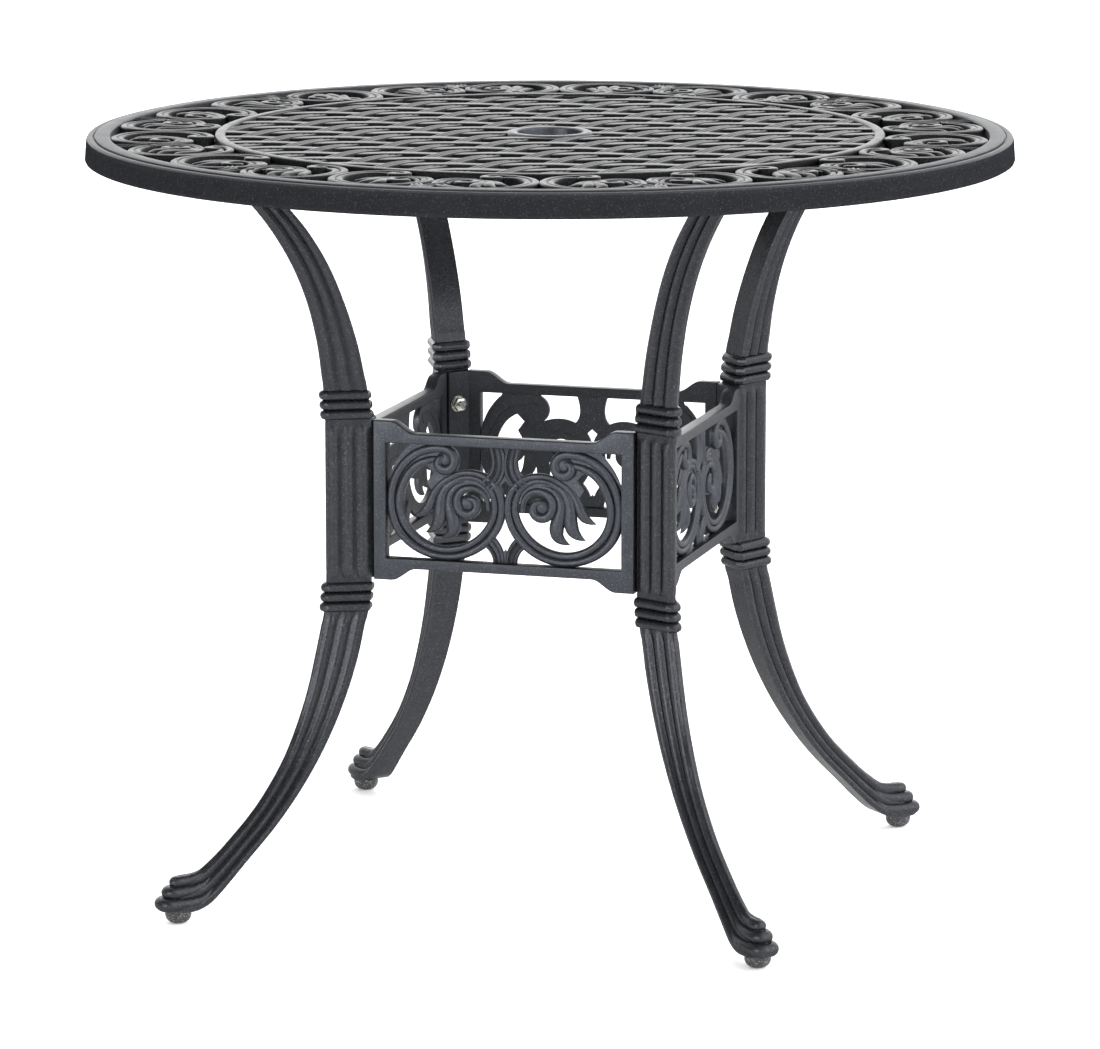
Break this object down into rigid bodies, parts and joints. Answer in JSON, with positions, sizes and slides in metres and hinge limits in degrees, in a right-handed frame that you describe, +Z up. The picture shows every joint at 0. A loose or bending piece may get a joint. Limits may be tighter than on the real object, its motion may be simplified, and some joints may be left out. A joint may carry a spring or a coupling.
{
  "type": "round dining table",
  "caption": "Round cast aluminium patio dining table: woven top with scroll border and umbrella hole, bowed legs on paw feet, pierced scroll aprons, screw-in levelling glides.",
  "frame": {"origin": "on the floor below the centre of the top, with the glides screwed fully in", "axes": "+Z up along the umbrella hole; the front apron faces -Y, the right apron +X; the legs stand on the diagonals"},
  "size_m": [0.9139, 0.914, 0.752],
  "materials": {
    "powder_coat": "charcoal powder coat with a fine sand-cast grain, satin",
    "zinc_steel": "bright zinc plate",
    "nylon": "matt speckled nylon"
  },
  "bodies": {
    "table": {"table_top": "powder_coat", "leg_front_left": "powder_coat", "leg_front_right": "powder_coat", "leg_back_right": "powder_coat", "leg_back_left": "powder_coat", "apron_front": "powder_coat", "apron_right": "powder_coat", "apron_back": "powder_coat", "apron_left": "powder_coat", "apron_studs": "zinc_steel", "apron_washers": "zinc_steel", "apron_nuts": "zinc_steel", "top_bolts": "zinc_steel", "top_washers": "zinc_steel", "top_spring_washers": "zinc_steel", "glide_inserts": "zinc_steel"},
    "glide_front_left": {"glide_pad_front_left": "nylon", "glide_stud_front_left": "zinc_steel"},
    "glide_front_right": {"glide_pad_front_right": "nylon", "glide_stud_front_right": "zinc_steel"},
    "glide_back_right": {"glide_pad_back_right": "nylon", "glide_stud_back_right": "zinc_steel"},
    "glide_back_left": {"glide_pad_back_left": "nylon", "glide_stud_back_left": "zinc_steel"}
  },
  "joints": [
    {"name": "glide_screw_front_left", "type": "slide", "parent": "table", "child": "glide_front_left", "axis": [0, 0, -1], "range_m": [0, 0.01]},
    {"name": "glide_screw_front_right", "type": "slide", "parent": "table", "child": "glide_front_right", "axis": [0, 0, -1], "range_m": [0, 0.01]},
    {"name": "glide_screw_back_right", "type": "slide", "parent": "table", "child": "glide_back_right", "axis": [0, 0, -1], "range_m": [0, 0.01]},
    {"name": "glide_screw_back_left", "type": "slide", "parent": "table", "child": "glide_back_left", "axis": [0, 0, -1], "range_m": [0, 0.01]}
  ]
}
